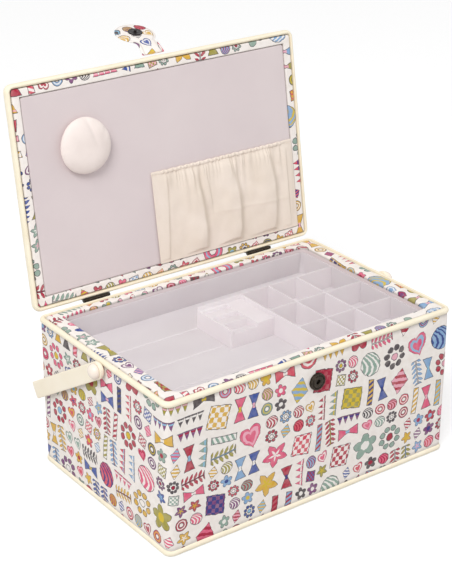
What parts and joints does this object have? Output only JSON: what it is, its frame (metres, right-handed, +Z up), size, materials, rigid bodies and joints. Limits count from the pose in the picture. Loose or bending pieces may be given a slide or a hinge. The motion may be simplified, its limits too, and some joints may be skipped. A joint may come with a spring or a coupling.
{
  "type": "sewing box",
  "caption": "Fabric-covered sewing box with a hinged padded lid, snap strap, folding carry handle and a lift-out compartment tray.",
  "frame": {"origin": "centre of the underside of the case, on the surface that the box stands on", "axes": "+Z up, +Y towards the hinges at the back, +X to the right as seen from the front"},
  "size_m": [0.3978, 0.3506, 0.4365],
  "materials": {
    "printed_fabric": "printed cotton over thin wadding",
    "cream_piping": "plain cotton piping over cord",
    "satin_lining": "satin weave",
    "board": "raw pressed board",
    "underside_fabric": "plain cotton",
    "pocket_cloth": "gathered plain cotton",
    "pincushion_cloth": "plain cotton, stuffed",
    "cream_plastic": "moulded, semi-gloss",
    "tray_plastic": "moulded, translucent",
    "dark_bronze": "antique bronze plating",
    "black_metal": "black plated snap",
    "steel": "zinc plated"
  },
  "bodies": {
    "case": {"front_board": "board", "back_board": "board", "left_board": "board", "right_board": "board", "left_inner_board": "board", "right_inner_board": "board", "base_board": "board", "underside_cover": "underside_fabric", "outer_cover": "printed_fabric", "top_piping": "cream_piping", "bottom_piping": "cream_piping", "rim_cover": "printed_fabric", "wall_lining": "satin_lining", "floor_lining": "satin_lining", "left_tray_ledge": "satin_lining", "right_tray_ledge": "satin_lining", "snap_socket": "dark_bronze", "snap_socket_washer": "steel", "left_pivot_bolt": "steel", "right_pivot_bolt": "steel", "left_pivot_spacer": "cream_plastic", "right_pivot_spacer": "cream_plastic", "left_pivot_nut": "steel", "right_pivot_nut": "steel", "left_handle_cap": "cream_plastic", "right_handle_cap": "cream_plastic", "left_hinge_case_leaf": "dark_bronze", "right_hinge_case_leaf": "dark_bronze", "left_hinge_pin": "dark_bronze", "right_hinge_pin": "dark_bronze"},
    "lid": {"lid_piping": "cream_piping", "lid_board": "board", "lid_cover": "printed_fabric", "lid_band": "printed_fabric", "lid_lining": "satin_lining", "pincushion": "pincushion_cloth", "pocket": "pocket_cloth", "pocket_elastic": "pocket_cloth", "left_hinge_lid_leaf": "dark_bronze", "right_hinge_lid_leaf": "dark_bronze"},
    "strap_neck": {"strap_neck": "printed_fabric"},
    "strap_head": {"strap_head": "printed_fabric", "snap_stud": "black_metal", "snap_cap": "black_metal"},
    "tray": {"tray": "tray_plastic"},
    "handle": {"handle_bail": "cream_plastic"}
  },
  "joints": [
    {"name": "lid_hinge", "type": "hinge", "parent": "case", "child": "lid", "pos_m": [0, 0.1228, 0.1745], "axis": [-1, 0, 0], "range_deg": [-98.9, 0]},
    {"name": "strap_fold", "type": "hinge", "parent": "lid", "child": "strap_neck", "pos_m": [0, 0.16792, 0.41684], "axis": [-1, 0, 0], "range_deg": [-117.94, 0]},
    {"name": "strap_head_bend", "type": "hinge", "parent": "strap_neck", "child": "strap_head", "pos_m": [0, 0.17878, 0.42567], "axis": [-1, 0, 0], "range_deg": [-42.06, 0]},
    {"name": "tray_lift", "type": "slide", "parent": "case", "child": "tray", "axis": [0, 0, 1], "range_m": [0, 0.09]},
    {"name": "handle_swing", "type": "hinge", "parent": "case", "child": "handle", "pos_m": [0, -0.0055, 0.1637], "axis": [1, 0, 0], "range_deg": [0, 36]}
  ]
}
